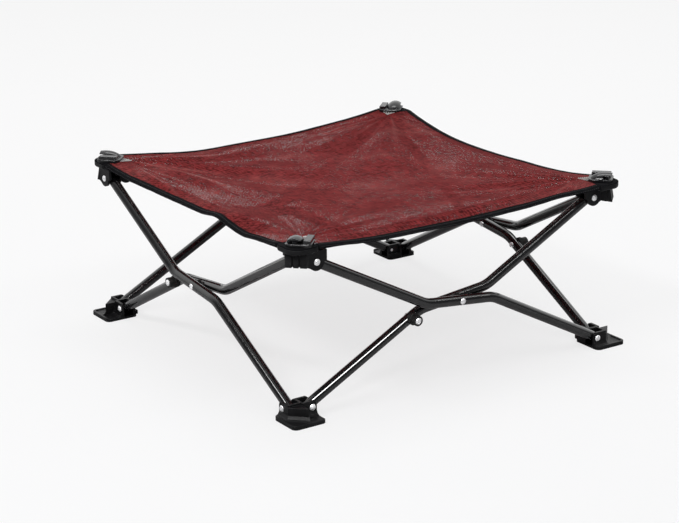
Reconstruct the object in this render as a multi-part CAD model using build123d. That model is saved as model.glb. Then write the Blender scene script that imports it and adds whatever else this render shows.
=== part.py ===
"""Folding square pet cot: a scissor frame of bent steel tubes that carries a mesh sling.

The cot has four like sides and four like corners, each a quarter turn from the last.
Side 0 is the front, towards -Y, and corner 0 is at -X and -Y. Each side has an outer tube,
from the top hub at its left end down to the foot at its right end, and an inner tube that
crosses it. Everything is built for side 0 or corner 0 and turned to the other places.
Millimetres, Z up, origin on the floor under the middle of the cot.
"""

import math
import os

from build123d import *

# Frame layout
pivot_half = 264.0          # middle of a side to the pivots of its hubs and feet
foot_pivot_z = 17.0
hub_pivot_z = 244.0
plane_reach = 27.0          # outer tubes' centre lines past the pivots, across the corner
running_gap = 0.3           # between parts that move past each other

# Tubes
tube_od = 16.0
tube_wall = 1.2
tube_end = 10.0             # tube length past its end pivots
middle_half = 62.0          # half the shallow middle stretch, measured along the side
middle_slope = 6.0          # degrees
bend_radius = 55.0

# Rivets
rivet_r = 2.5
rivet_clearance = 0.05
head_r = 5.0
head_height = 2.8
head_edge = 0.5
saddle_depth = 1.0          # scissor rivet's head, down the round of its tube
tail_r = 4.2
tail_height = 1.6
washer_thickness = 1.0
washer_r = 8.5

# Stop bumpers on the inner tubes
bumper_along = 80.0         # middle of a side to the bumper
bumper_r = 8.0
bumper_reach = 13.5         # how far it stands out from the tube
collar_r = 9.5
collar_reach = 3.0

# Clevises of hubs and feet
side_gap = 0.4              # tube to clevis wall
clevis_wall = 4.0
end_gap = 1.6               # swinging tube end to the end wall or roof
post_reach = 17.0           # pivots to where the 45 degree corner face starts

# Top hubs
hub_lug_r = 13.0
hub_lug_end = 17.0          # clevis past the pivot, towards the middle of the side
hub_post_lift = 7.5         # corner post above the lowest point of the lugs
hub_post_flare = 3.5        # corner post wider at its foot
hub_web_start = 8.5         # pivots to where the inner clevis runs out to the post
hub_roof = 2.4
flange_reach = 42.0         # flange past the pivots
flange_width = 45.5
flange_thickness = 8.0
flange_corner_r = 20.0
flange_inner_r = 6.0
flange_round = 3.5
groove_width = 2.4
groove_depth = 1.4
groove_pitch = 10.0

# Feet
pad_back = 7.5              # pad behind the pivots
pad_reach = 49.4            # pad past the pivots
pad_corner_r = 8.0
pad_thickness = 4.5
pad_floor = 3.5             # under the tube ends
rim_width = 4.0             # raised rim along the pad's two outer edges
rim_height = 1.6
rim_round = 0.7
foot_lug_height = 9.5       # above the pivot
foot_lug_round = 6.5
foot_post_drop = 3.0        # corner post below the lug tops
foot_flare = 6.5            # hollow slope from the walls out to the pad
foot_flare_waist = 0.35     # share of the flare left at that share of its height

# Sling
hem_sag = 15.0              # of each hem at its middle
hem_bow = 14.0              # each hem's middle, drawn in by the pull of the sheet
edge_sag = 5.0              # of the sheet at the middle of the line between two patches
centre_sag = 24.0           # of the sheet at the middle of the cot
sling_thickness = 1.2
sling_stations = 4          # lofted steps from the patch line to the middle
patch_thickness = 2.3
patch_gap = 0.5             # patch edge to the sling, in plan
hem_inset = 1.0             # hem behind the flange's outer edge
hem_depth = 5.0
hem_height = 6.5
hem_rise = 0.5              # hem above the sling's face

# Corner clips
clip_inset = 24.0           # clip's centre behind the flange's outer edge, the same in X and Y
clip_length = 38.0
clip_width = 38.0
clip_ahead = 2.0            # clip's middle past its centre, towards the middle of the cot
clip_aside = 3.3            # clip's middle to the right of the diagonal, seen from outside
clip_base = 4.5
clip_corner_r = 9.0
clip_round = 1.2
hood_width = 26.0
hood_height = 13.8
hood_swell = 2.0            # dome wider than the hood, so that its sides start upright
lip_thickness = 4.0         # hood over the screw, open at its outer end
block_height = 5.5          # above the clip's base
block_length = 30.0
screw_r = 1.8
screw_length = 17.0
screw_head_r = 4.0
screw_head_height = 2.4
screw_back = 7.0            # behind the clip's centre, towards the corner
recess_width = 0.9
recess_depth = 1.2

side_names = ("front", "right", "back", "left")
corner_names = ("front_left", "front_right", "back_right", "back_left")

# Sizes that follow from those above
outer_plane = pivot_half + plane_reach
post_corner = pivot_half + post_reach
web_corner = pivot_half + hub_web_start
flange_half = pivot_half + flange_reach
pad_inner = pivot_half - pad_back
pad_outer = pivot_half + pad_reach
hem_outer = flange_half - hem_inset
clip_centre = flange_half - clip_inset

tube_r = tube_od / 2
inner_plane = outer_plane - tube_od - washer_thickness - 2 * running_gap
hole_r = rivet_r + rivet_clearance
mid_z = (foot_pivot_z + hub_pivot_z) / 2
half_rise = (hub_pivot_z - foot_pivot_z) / 2
bend_rise = middle_half * math.tan(math.radians(middle_slope))
arm_slope = math.atan2(half_rise - bend_rise, pivot_half - middle_half)
swing_r = math.hypot(tube_end, tube_r)

outer_face = outer_plane + tube_r + side_gap + clevis_wall
inner_face = inner_plane + tube_r + side_gap + clevis_wall
slot_width = tube_od + 2 * side_gap
clevis_depth = slot_width + 2 * clevis_wall
slot_end = pivot_half + swing_r + end_gap

hub_low_z = hub_pivot_z - hub_lug_r
hub_post_z = hub_low_z + hub_post_lift
slot_roof_z = hub_pivot_z + swing_r + end_gap
flange_top_z = slot_roof_z + flange_thickness
flange_edge = flange_half - flange_width
foot_top_z = foot_pivot_z + foot_lug_height

patch_top_z = flange_top_z + patch_thickness
sling_edge = flange_edge - patch_gap
sling_half = sling_edge - running_gap
hem_inner = hem_outer - hem_depth


def turned(shape, quarter):
    """The shape turned about Z to the side or corner with that number."""
    return Rot(0, 0, 90 * quarter) * shape


def swapped(shape):
    """The shape mirrored across corner 0's diagonal, so that X and Y change places."""
    return mirror(shape, about=Plane(origin=(0, 0, 0), z_dir=(1, -1, 0)))


def box(low, high):
    """A box between two opposite corners."""
    size = [b - a for a, b in zip(low, high)]
    middle = [(a + b) / 2 for a, b in zip(low, high)]
    return Pos(*middle) * Box(*size)


def upright(profile, front, back):
    """A face drawn in X and Z, extruded over the given Y range."""
    return extrude(Plane.XZ.offset(-back) * profile, amount=back - front)


def bar(x, z, front, back, radius):
    """A round bar along Y."""
    return upright(Pos(x, z) * Circle(radius), front, back)


def tube_path(plane, falls):
    """Centre line of a tube in its side's plane: two arms and a shallow middle."""
    sign = -1 if falls else 1
    end_x = pivot_half + tube_end * math.cos(arm_slope)
    end_z = half_rise + tube_end * math.sin(arm_slope)
    points = [
        (-end_x, mid_z - sign * end_z),
        (-middle_half, mid_z - sign * bend_rise),
        (middle_half, mid_z + sign * bend_rise),
        (end_x, mid_z + sign * end_z),
    ]
    return Plane.XZ.offset(plane) * FilletPolyline(*points, radius=bend_radius)


def swept_bar(path, radius):
    """A round bar that follows a tube's centre line."""
    return sweep(Plane(origin=path @ 0, z_dir=path % 0) * Circle(radius), path=path)


def drilled_tube(plane, falls, holes):
    """A tube with its cross holes, given as places in X and Z."""
    path = tube_path(plane, falls)
    tube = swept_bar(path, tube_r) - swept_bar(path, tube_r - tube_wall)
    for x, z in holes:
        tube -= bar(x, z, -plane - tube_od, -plane + tube_od, hole_r)
    return tube


def rivet(length):
    """A domed rivet along Z: its head stands on z = 0 and its shank ends at -length."""
    dome_r = (head_r**2 + (head_height - head_edge) ** 2) / (2 * (head_height - head_edge))
    shoulder = math.asin(head_r / dome_r) / 2
    dome = ThreePointArc(
        (0, head_height),
        (dome_r * math.sin(shoulder), head_height - dome_r * (1 - math.cos(shoulder))),
        (head_r, head_edge),
    )
    rest = Polyline(
        (head_r, head_edge), (head_r, 0), (rivet_r, 0), (rivet_r, -length), (0, -length), (0, head_height)
    )
    return revolve(make_face(Plane.XZ * (dome + rest)), axis=Axis.Z)


def front_rivet(x, y, z, length):
    """A rivet driven in from the front, with its head standing on the plane at y."""
    return Plane(origin=(x, y, z), z_dir=(0, -1, 0)) * rivet(length)


def clevis_pair(along_x, along_y):
    """The outer tube's clevis along X and the inner tube's clevis along Y, at corner 0.

    Each argument is a function that gives a block for a tube along X over a range of Y.
    """
    outer = along_x(-outer_face, -outer_face + clevis_depth)
    inner = along_y(-inner_face, -inner_face + clevis_depth)
    return outer + swapped(inner)


def rivet_pair(z):
    """The outer and the inner tube's rivets at corner 0, for an outer tube along X."""
    outer = front_rivet(-pivot_half, -outer_face, z, clevis_depth)
    inner = front_rivet(-pivot_half, -inner_face, z, clevis_depth)
    return [outer, swapped(inner)]


def rivet_holes(z):
    """Bores for those two rivets."""

    def bore(front, back):
        return bar(-pivot_half, z, front, back, hole_r)

    return clevis_pair(bore, bore)


def foot_post_face():
    """Plan of the foot's corner post, with its 45 degree face."""
    outline = Polyline(
        (-post_corner, -outer_face),
        (-outer_face, -post_corner),
        (-slot_end, -post_corner),
        (-slot_end, -outer_face),
        close=True,
    )
    return make_face(outline)


def hub_post_face(flare):
    """Plan of the hub's corner post with the web that joins it to the inner clevis."""
    out = flare / math.sqrt(2)
    outline = Polyline(
        (-post_corner - out, -outer_face - out),
        (-outer_face - out, -post_corner - out),
        (-inner_face, -web_corner),
        (-slot_end, -web_corner),
        (-slot_end, -outer_face),
        close=True,
    )
    return make_face(outline)


def rounded_plate(near, far, corner_r, other_r, low, high):
    """A square plate in corner 0 whose outermost corner has its own radius."""
    middle = -(near + far) / 2
    plan = Pos(middle, middle) * Rectangle(far - near, far - near)
    diagonal = Axis((0, 0, 0), (1, 1, 0))
    plan = fillet(plan.vertices().sort_by(diagonal)[0], corner_r)
    square_corners = plan.vertices().sort_by(diagonal)[2:]
    plan = fillet(square_corners, other_r)
    return extrude(Pos(0, 0, low) * plan, amount=high - low)


def diagonal_plane(distance, z):
    """A plane at corner 0 whose X points along the diagonal to the middle of the cot."""
    return Plane(origin=(-distance, -distance, z), x_dir=(1, 1, 0), z_dir=(0, 0, 1))


def screw_place():
    """Local place of the clip's screw: under the top of the hood."""
    return Pos(-screw_back, (clip_width - hood_width) / 2 - clip_aside)


def screw_bore(depth):
    """Bore for the clip's screw, down from the clip's seat and up through its base."""
    plane = diagonal_plane(clip_centre, patch_top_z - depth)
    return plane * screw_place() * extrude(Circle(screw_r + rivet_clearance), amount=depth + clip_base)


def make_hub():
    """Top hub of corner 0: two clevises, a grooved corner post and a flange for the sling."""

    def lug(front, back):
        top = slot_roof_z + hub_roof
        end = hub_lug_end - pivot_half
        outline = Polyline(
            (-post_corner, hub_post_z),
            (-pivot_half, hub_low_z),
            (-pivot_half, hub_pivot_z),
            (end, hub_pivot_z),
            (end, top),
            (-post_corner, top),
            close=True,
        )
        return upright(make_face(outline), front, back) + bar(-pivot_half, hub_pivot_z, front, back, hub_lug_r)

    def slot(front, back):
        low = (-slot_end, front + clevis_wall, hub_low_z - hub_lug_r)
        high = (0, back - clevis_wall, slot_roof_z)
        return box(low, high)

    foot_of_post = Pos(0, 0, hub_post_z) * hub_post_face(hub_post_flare)
    head_of_post = Pos(0, 0, slot_roof_z) * hub_post_face(0)
    post = loft([foot_of_post, head_of_post], ruled=True)
    flange = rounded_plate(
        flange_edge, flange_half, flange_corner_r, flange_inner_r, slot_roof_z, flange_top_z
    )
    flange = fillet(flange.edges().group_by(Axis.Z)[0], flange_round)
    hub = clevis_pair(lug, lug) + post + flange - clevis_pair(slot, slot) - rivet_holes(hub_pivot_z)
    face = diagonal_plane((post_corner + outer_face) / 2, hub_post_z)
    groove = Box(
        2 * (groove_depth + hub_post_flare),
        groove_width,
        slot_roof_z - hub_post_z,
        align=(Align.CENTER, Align.CENTER, Align.MIN),
    )
    web_middle = (-(inner_face + outer_face) / 2, -(web_corner + post_corner) / 2, hub_post_z)
    inward = (post_corner - web_corner, inner_face - outer_face, 0)
    web = Plane(origin=web_middle, x_dir=inward, z_dir=(0, 0, 1))
    for wall in (face, web):
        for side in (-0.5, 0.5):
            hub -= wall * Pos(-hub_post_flare, side * groove_pitch) * groove
    return hub - screw_bore(screw_length)


def skirt_face(out):
    """Plan of the foot's walls, with their outer sides pushed out."""
    outline = Polyline(
        (-pad_inner, -outer_face - out),
        (-post_corner - out * (math.sqrt(2) - 1), -outer_face - out),
        (-outer_face - out * math.sqrt(2), -post_corner),
        (-inner_face - out, -post_corner),
        (-inner_face - out, -pad_inner),
        (-pad_inner, -pad_inner),
        close=True,
    )
    return make_face(outline)


def foot_skirt():
    """Hollow slope round the foot's walls, in a shallow and a steep step."""
    waist = foot_flare * foot_flare_waist
    low = Pos(0, 0, pad_thickness) * skirt_face(foot_flare)
    middle = Pos(0, 0, pad_thickness + waist) * skirt_face(waist)
    high = Pos(0, 0, pad_thickness + foot_flare) * skirt_face(0)
    return loft([low, middle], ruled=True) + loft([middle, high], ruled=True)


def make_foot():
    """Foot of corner 0: a pad with two open clevises and a corner post."""

    def lug(front, back):
        width = post_corner - pad_inner
        profile = Pos(-pad_inner - width / 2, foot_top_z / 2) * Rectangle(width, foot_top_z)
        free_corner = profile.vertices().sort_by(Axis((0, 0, 0), (1, 1, 0)))[-1]
        return upright(fillet(free_corner, foot_lug_round), front, back)

    def slot(front, back):
        low = (-slot_end, front + clevis_wall, pad_floor)
        high = (0, back - clevis_wall, 2 * foot_top_z)
        return box(low, high)

    pad = rounded_plate(pad_inner, pad_outer, pad_corner_r, pad_corner_r, 0, pad_thickness)
    rim_top = pad_thickness + rim_height
    rim = rounded_plate(pad_inner, pad_outer, pad_corner_r, pad_corner_r, 0, rim_top)
    rim_r = pad_corner_r - rim_width
    rim -= rounded_plate(pad_inner - rim_width, pad_outer - rim_width, rim_r, rim_r, 0, rim_top)
    rim = fillet(rim.edges().group_by(Axis.Z)[-1], rim_round)
    post = extrude(foot_post_face(), amount=foot_top_z - foot_post_drop)
    body = pad + rim + clevis_pair(lug, lug) + post + foot_skirt()
    foot = body - clevis_pair(slot, slot) - rivet_holes(foot_pivot_z)
    return swapped(foot)


def make_patch():
    """Doubled corner of the sling, clamped between the hub's flange and the clip."""
    patch = rounded_plate(
        flange_edge, flange_half, flange_corner_r, flange_inner_r, flange_top_z, patch_top_z
    )
    return patch - screw_bore(screw_length)


def make_clip():
    """Corner clip: a base with a domed hood, open at its outer end, and a low block."""
    back = clip_ahead - clip_length / 2
    front = clip_ahead + clip_length / 2
    plan = Pos(clip_ahead, -clip_aside) * RectangleRounded(clip_length, clip_width, clip_corner_r)
    base = extrude(plan, amount=clip_base)
    base = fillet(base.edges().group_by(Axis.Z)[-1], clip_round)

    tip_x = back + clip_round
    root_z = clip_base - clip_round
    dome_length = front - clip_round + screw_back
    dome = Pos(-screw_back) * scale(Sphere(1), by=(dome_length, hood_width / 2 + hood_swell, hood_height))
    hood = dome & box((tip_x, -hood_width / 2, root_z), (front, hood_width / 2, hood_height))
    mouth_end = screw_head_r + side_gap - screw_back
    hood -= box((back, -hood_width, clip_base), (mouth_end, hood_width, hood_height - lip_thickness))
    hood_y = (clip_width - hood_width) / 2 - clip_aside

    block_width = clip_width - hood_width
    block_y = hood_y - hood_width / 2 - block_width / 2
    block = box(
        (clip_ahead - block_length / 2, block_y - block_width / 2 + clip_round, clip_base - clip_round),
        (clip_ahead + block_length / 2, block_y + block_width / 2, clip_base + block_height),
    )
    block = fillet(block.edges().group_by(Axis.Z)[-1], clip_round)
    clip = base + Pos(0, hood_y, 0) * hood + block
    return diagonal_plane(clip_centre, patch_top_z) * clip - screw_bore(screw_length)


def make_clip_screw():
    """Pan head screw that holds the clip and the patch on the hub."""
    head = Pos(0, 0, clip_base) * extrude(Circle(screw_head_r), amount=screw_head_height)
    head = fillet(head.edges().group_by(Axis.Z)[-1], screw_head_height / 2)
    recess_z = clip_base + screw_head_height - recess_depth
    for turn in (0, 90):
        bit = Box(screw_head_r, recess_width, recess_depth, align=(Align.CENTER, Align.CENTER, Align.MIN))
        head -= Pos(0, 0, recess_z) * Rot(0, 0, turn) * bit
    shank = Pos(0, 0, clip_base - screw_length) * extrude(Circle(screw_r), amount=screw_length)
    return diagonal_plane(clip_centre, patch_top_z) * screw_place() * (head + shank)


def make_scissor_rivet():
    """Rivet at the crossing: its head is saddled on the outer tube, its tail clears the inner one."""
    tube_face = -outer_plane - tube_r
    tail_y = -inner_plane + tube_r + running_gap
    head = front_rivet(0, tube_face + saddle_depth, mid_z, saddle_depth)
    head -= swept_bar(tube_path(outer_plane, True), tube_r)
    shank = bar(0, mid_z, tube_face - head_edge, tail_y, rivet_r)
    tail = bar(0, mid_z, tail_y, tail_y + tail_height, tail_r)
    return head + shank + tail


def make_washer():
    """Spacer between the two tubes of a side, round the scissor rivet."""
    front = -outer_plane + tube_r + running_gap
    ring = bar(0, mid_z, front, front + washer_thickness, washer_r)
    return ring - bar(0, mid_z, front, front + washer_thickness, hole_r)


def bumper_z():
    """Height of the inner tube's centre line at the bumper."""
    return mid_z - bend_rise - (bumper_along - middle_half) * math.tan(arm_slope)


def make_bumper():
    """Stop bumper: a collared peg saddled on the inner tube, in the way of the outer one."""
    z = bumper_z()
    tube_face = -inner_plane - tube_r
    peg = bar(-bumper_along, z, tube_face - bumper_reach, -inner_plane, bumper_r)
    collar = bar(-bumper_along, z, tube_face - collar_reach, -inner_plane - tube_r / 2, collar_r)
    bumper = peg + collar - swept_bar(tube_path(inner_plane, False), tube_r)
    return bumper - bar(-bumper_along, z, tube_face - bumper_reach, -inner_plane, hole_r)


def make_bumper_rivet():
    """Rivet through the bumper and the inner tube, with its tail saddled on the tube."""
    z = bumper_z()
    seat = -inner_plane - tube_r - bumper_reach
    tail_y = -inner_plane + tube_r
    tail = bar(-bumper_along, z, tail_y - tail_height, tail_y + tail_height, tail_r)
    tail -= swept_bar(tube_path(inner_plane, False), tube_r)
    return front_rivet(-bumper_along, seat, z, tail_y - seat) + tail


def sagging_strip(ends_z, sag, height):
    """A face in X and Z under an arc that sags between the patches."""
    upper = ThreePointArc((-sling_edge, ends_z), (0, ends_z - sag), (sling_edge, ends_z))
    low_z = ends_z - height
    lower = ThreePointArc((sling_edge, low_z), (0, low_z - sag), (-sling_edge, low_z))
    return make_face(upper + Line(upper @ 1, lower @ 0) + lower + Line(lower @ 1, upper @ 0))


def sheet_strip(y):
    """Section of the sheet at a distance from the middle: its ends and its middle both sag."""
    depth = 1 - (y / sling_edge) ** 2
    ends_z = patch_top_z - edge_sag * depth
    sag = edge_sag + (centre_sag - 2 * edge_sag) * depth
    return Plane.XZ.offset(y) * sagging_strip(ends_z, sag, sling_thickness)


def make_sling_panel():
    """Front quarter of the sheet: from the line between two patches to the middle."""
    stations = [sling_edge * (1 - step / sling_stations) for step in range(sling_stations + 1)]
    sheet = loft([sheet_strip(y) for y in stations], ruled=True)
    plan = Polyline((-sling_half, -sling_half), (sling_half, -sling_half), (0, -running_gap), close=True)
    return sheet & extrude(make_face(plan), amount=2 * patch_top_z)


def hem_bay(outermost):
    """Plan of the sheet's front edge inside a hem line that bows in between the patches."""
    hem = ThreePointArc((-sling_edge, -outermost), (0, hem_bow - outermost), (sling_edge, -outermost))
    inner = Polyline(hem @ 1, (sling_edge, -sling_edge), (-sling_edge, -sling_edge), hem @ 0)
    return extrude(make_face(hem + inner), amount=2 * patch_top_z)


def make_sling_edge():
    """Front edge of the sheet, outside the line between two patches, with its sewn binding."""
    margin_share = (hem_inner - sling_edge - hem_bow) / (hem_inner - sling_edge)
    margin_sag = edge_sag + (hem_sag - edge_sag) / margin_share
    at_hem = Plane.XZ.offset(hem_inner) * sagging_strip(patch_top_z, margin_sag, sling_thickness)
    margin = loft([at_hem, sheet_strip(sling_edge)], ruled=True) & hem_bay(hem_inner)
    rail = upright(sagging_strip(patch_top_z + hem_rise, hem_sag, hem_height), -hem_outer, -sling_edge)
    binding = rail & (hem_bay(hem_outer) - hem_bay(hem_inner))
    ends = box((-sling_half, -hem_outer, 0), (sling_half, -sling_edge, 2 * patch_top_z))
    return (margin + binding) & ends


def main():
    """Build one of each piece, turn it to its four places and write the parts."""
    low_pivot = (pivot_half, foot_pivot_z)
    high_pivot = (pivot_half, hub_pivot_z)
    crossing = (0, mid_z)
    outer_holes = [(-pivot_half, hub_pivot_z), crossing, low_pivot]
    inner_holes = [(-pivot_half, foot_pivot_z), crossing, high_pivot, (-bumper_along, bumper_z())]
    foot_rivets = [swapped(piece) for piece in rivet_pair(foot_pivot_z)]
    side_pieces = {
        "outer_tube": drilled_tube(outer_plane, True, outer_holes),
        "inner_tube": drilled_tube(inner_plane, False, inner_holes),
        "scissor_rivet": make_scissor_rivet(),
        "scissor_washer": make_washer(),
        "stop_bumper": make_bumper(),
        "bumper_rivet": make_bumper_rivet(),
        "sling_panel": make_sling_panel(),
        "sling_edge": make_sling_edge(),
    }
    corner_pieces = {
        "top_hub": make_hub(),
        "hub_rivets": Compound(rivet_pair(hub_pivot_z)),
        "corner_patch": make_patch(),
        "corner_clip": make_clip(),
        "clip_screw": make_clip_screw(),
        "foot": make_foot(),
        "foot_rivets": Compound(foot_rivets),
    }
    os.makedirs("parts", exist_ok=True)
    for quarter in range(4):
        for name, piece in side_pieces.items():
            export_step(turned(piece, quarter), f"parts/{name}_{side_names[quarter]}.step")
        for name, piece in corner_pieces.items():
            export_step(turned(piece, quarter), f"parts/{name}_{corner_names[quarter]}.step")


main()
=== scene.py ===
import math

import bpy
import numpy as np
from mathutils import Matrix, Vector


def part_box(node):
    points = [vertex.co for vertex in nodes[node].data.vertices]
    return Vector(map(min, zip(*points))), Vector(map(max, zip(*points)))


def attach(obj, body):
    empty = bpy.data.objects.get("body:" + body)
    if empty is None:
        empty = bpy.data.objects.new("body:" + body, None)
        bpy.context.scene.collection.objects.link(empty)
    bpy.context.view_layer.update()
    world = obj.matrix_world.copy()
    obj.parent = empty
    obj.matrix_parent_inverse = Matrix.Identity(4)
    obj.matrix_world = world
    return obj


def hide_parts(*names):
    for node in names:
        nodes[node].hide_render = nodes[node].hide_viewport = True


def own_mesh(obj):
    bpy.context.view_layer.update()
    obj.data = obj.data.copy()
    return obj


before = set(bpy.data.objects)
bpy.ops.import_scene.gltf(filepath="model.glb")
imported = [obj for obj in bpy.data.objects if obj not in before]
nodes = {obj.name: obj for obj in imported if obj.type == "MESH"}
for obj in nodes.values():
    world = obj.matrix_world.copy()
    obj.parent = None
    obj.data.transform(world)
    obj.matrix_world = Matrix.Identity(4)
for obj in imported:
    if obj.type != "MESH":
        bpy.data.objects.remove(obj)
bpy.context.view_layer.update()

SIDES = ("front", "right", "back", "left")
CORNERS = ("front_left", "front_right", "back_right", "back_left")

# Where the cloth sits, in metres, read from the frame
patch_low, patch_high = (np.array(corner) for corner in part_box("corner_patch_front_left"))
edge_low, edge_high = (np.array(corner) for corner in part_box("sling_edge_front"))
PATCH_OUT = -patch_low[0]
PATCH_IN = -patch_high[0]
PATCH_LOW_Z = patch_low[2]
TOP_Z = patch_high[2]
EDGE = -edge_high[1]                # middle of the cot to the line between two patches
HEM_OUT = -edge_low[1]              # middle of the cot to the hem's outer face, at its ends

# Shape of the sheet
SHEET_THICKNESS = 0.0008
CENTRE_SAG = 0.024                  # depth of the tent before its tip is blunted
TENT_POWER = 2.3                    # 2 is a round cone, more is nearer to a pyramid
TENT_ROUND = 0.045                  # radius over which the tip is blunted
PANEL_ROWS = 96
PANEL_COLUMNS = 180
MARGIN_ROWS = 12

# More sag at the middle of a side, so that the far hems show from inside
SIDE_SAG = {"front": 0.0, "right": 0.0075, "back": 0.0075, "left": 0.0}

# Binding of the hem
HEM_DEEP = 0.0032                   # half the binding's size across the hem
HEM_TALL = 0.0023                   # half the binding's height
HEM_TOP = 0.0006                    # the binding's top over the middle of the sheet
HEM_GIRTH = 0.021                   # length round the binding, for its weave
HEM_LINE = HEM_OUT - HEM_DEEP
HEM_OVERRUN = 0.0004                # the binding's ends past the line between the patches
HEM_END_RUN = 0.055                 # stretch at each end where the binding grows downwards
HEM_END_SWELL = 0.5                 # share of its height that it gains there
HEM_BOW = 0.014                     # each hem's middle, drawn in by the pull of the sheet
TAPE_WIDTH = 0.0070                 # the tape's flat part on the sheet, in from the hem's line
TAPE_HEIGHT = 0.0009                # the tape's face over the middle of the sheet

# Each hem's sag at its middle, how flat its curve is, and its own waves: place, width, rise
HEM_CURVES = {
    "front": (0.0155, 2.0, ((0.72, 0.16, 0.0035), (-0.55, 0.2, -0.0012))),
    "right": (0.0175, 3.0, ((-0.3, 0.15, 0.0012),)),
    "back": (0.0140, 2.0, ((0.45, 0.2, -0.0010),)),
    "left": (0.0128, 4.0, ((0.26, 0.11, 0.0055), (0.58, 0.13, -0.0034))),
}

# Folds and creases that fan out from the corners; a value for each corner is in the order of CORNERS
FOLD_HEIGHTS = (0.0028, 0.0026, 0.0028, 0.0046)
FOLD_REACH = 0.10                   # distance from the corner at which the folds are highest
FOLD_RATE = 10.4                    # phase of the folds for each radian off the diagonal
CREASE_RATE = 30                    # the same for the narrow creases
CREASE_SHARE = 0.7                  # height of the creases beside that of the folds
CREASE_FADE = 0.15                  # distance over which the creases die away
CREASE_MEAN = 0.375                 # mean of a raised cosine squared, so that creases rise and fall
CALM_ANGLE = 0.06                   # creases start this far off the diagonal, where two panels meet
SLOW_WAVE = 0.0016
QUICK_WAVE = 0.0009
# Painted highlight along the crests of the creases: its strength and reach at each corner
CREASE_HIGHLIGHT_STRENGTHS = (0.30, 0.7, 0.5, 1.0)
CREASE_HIGHLIGHT_REACHES = (0.11, 0.17, 0.13, 0.21)

# Sewing
STITCH_PITCH = 0.0034
STITCH_HALF = 0.0012                # half of one stitch's length
STITCH_RADIUS = 0.00028
STITCH_END = 0.003                  # the hem's ends without stitches
TACK_RADIUS = 0.00065
PATCH_OUTER_R = 0.020               # the patch's outermost corner in plan
PATCH_INNER_R = 0.006               # its other corners
CLIP_INSET = 0.024                  # the patch's outer edges to the middle of the clip


def turned(points, quarter):
    """Points turned about Z by a number of quarter turns: each one takes X, Y to -Y, X."""
    points = np.array(points, float)
    for _ in range(quarter % 4):
        points = np.stack([-points[..., 1], points[..., 0], points[..., 2]], axis=-1)
    return points


# Meshes from grids

def grid_faces(rows, columns, ring=False):
    """Quads of a grid of points, row by row; a ring also joins the last column to the first."""
    across = columns if ring else columns - 1
    row, column = np.meshgrid(np.arange(rows - 1), np.arange(across), indexing="ij")
    after = (column + 1) % columns
    here, below = row * columns, (row + 1) * columns
    corners = [here + column, here + after, below + after, below + column]
    return np.stack(corners, axis=-1).reshape(-1, 4)


def tube_faces(rows, columns, start=0):
    """Faces of a closed tube of rings, with a face on each end; start is its first point's number."""
    body = grid_faces(rows, columns, ring=True)[:, ::-1] + start
    index = np.arange(rows * columns).reshape(rows, columns) + start
    return body.tolist() + [index[0].tolist(), index[-1, ::-1].tolist()]


def make_piece(name, points, faces, material, uv=None, normals=None):
    """A mesh object from points and lists of faces, with a UV map and set normals if given."""
    mesh = bpy.data.meshes.new(name)
    mesh.from_pydata(np.asarray(points).reshape(-1, 3).tolist(), [], faces)
    mesh.polygons.foreach_set("use_smooth", np.ones(len(mesh.polygons), bool))
    if uv is not None:
        corner_vertex = np.zeros(len(mesh.loops), np.int32)
        mesh.loops.foreach_get("vertex_index", corner_vertex)
        layer = mesh.uv_layers.new(name="surface")
        layer.data.foreach_set("uv", np.asarray(uv, float).reshape(-1, 2)[corner_vertex].ravel())
    mesh.update()
    if normals is not None:
        mesh.normals_split_custom_set_from_vertices(np.asarray(normals).reshape(-1, 3).tolist())
    mesh.materials.append(material)
    piece = bpy.data.objects.new(name, mesh)
    bpy.context.scene.collection.objects.link(piece)
    return piece


# The sling's surface

def hem_sag(side, along):
    """Drop of a hem: depth times one minus a power of the place along it, plus the hem's waves."""
    depth, power, waves = HEM_CURVES[side]
    span = 1 - np.abs(along) ** power
    free = np.sqrt(np.clip(span, 0, 1))
    drop = depth * span
    for place, width, rise in waves:
        drop = drop - rise * np.exp(-(((along - place) / width) ** 2)) * free
    return drop


def hem_distance(along):
    """Middle of the cot to the hem's line: a parabola drawn in at the middle of the side."""
    return HEM_LINE - HEM_BOW * (1 - along**2)


def tent(x, y):
    """Height under the patches' plane: minus the sag times one minus the reach over the full reach, where the
    reach is a power mean of x and y, blunted near the middle. Its ridges along the diagonals are straight."""
    power = TENT_POWER
    reach = ((np.abs(x) ** power + np.abs(y) ** power) / 2 + TENT_ROUND**power) ** (1 / power)
    full = (EDGE**power + TENT_ROUND**power) ** (1 / power)
    return -CENTRE_SAG * (1 - reach / full)


def side_tent(side, x, y):
    """The tent with one side's own sag: a parabola along the side that vanishes on the diagonals, times the
    square of the way out to the line between the patches."""
    out = np.maximum(-y, 1e-6)
    sag = SIDE_SAG[side] * (1 - np.clip(x / out, -1, 1) ** 2)
    return tent(x, y) - sag * np.minimum(out / EDGE, 1) ** 2


def from_corners(x, y):
    """For each corner of the sheet: its number, and each point's distance from it and angle off its
    diagonal."""
    for quarter in range(4):
        corner = turned((-EDGE, -EDGE, 0), quarter)
        inward = turned((1, 1, 0), quarter)[:2] / math.sqrt(2)
        away = np.stack([x - corner[0], y - corner[1]], axis=-1)
        ahead = away @ inward
        aside = away @ np.array([-inward[1], inward[0]])
        yield quarter, np.hypot(ahead, aside) + 1e-9, np.arctan2(aside, ahead)


def crease_wave(quarter, distance, angle):
    """Phase of the creases that fan out from a corner: their rate times the angle off the diagonal, bent by a
    sine of the angle, and by a sine of the distance that grows with the angle."""
    bend = 9 * np.sin(2.1 * angle + quarter)
    wander = 2.2 * np.sin(distance * 21 + 1.7 * quarter) * angle
    return CREASE_RATE * angle + bend + wander


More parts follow.
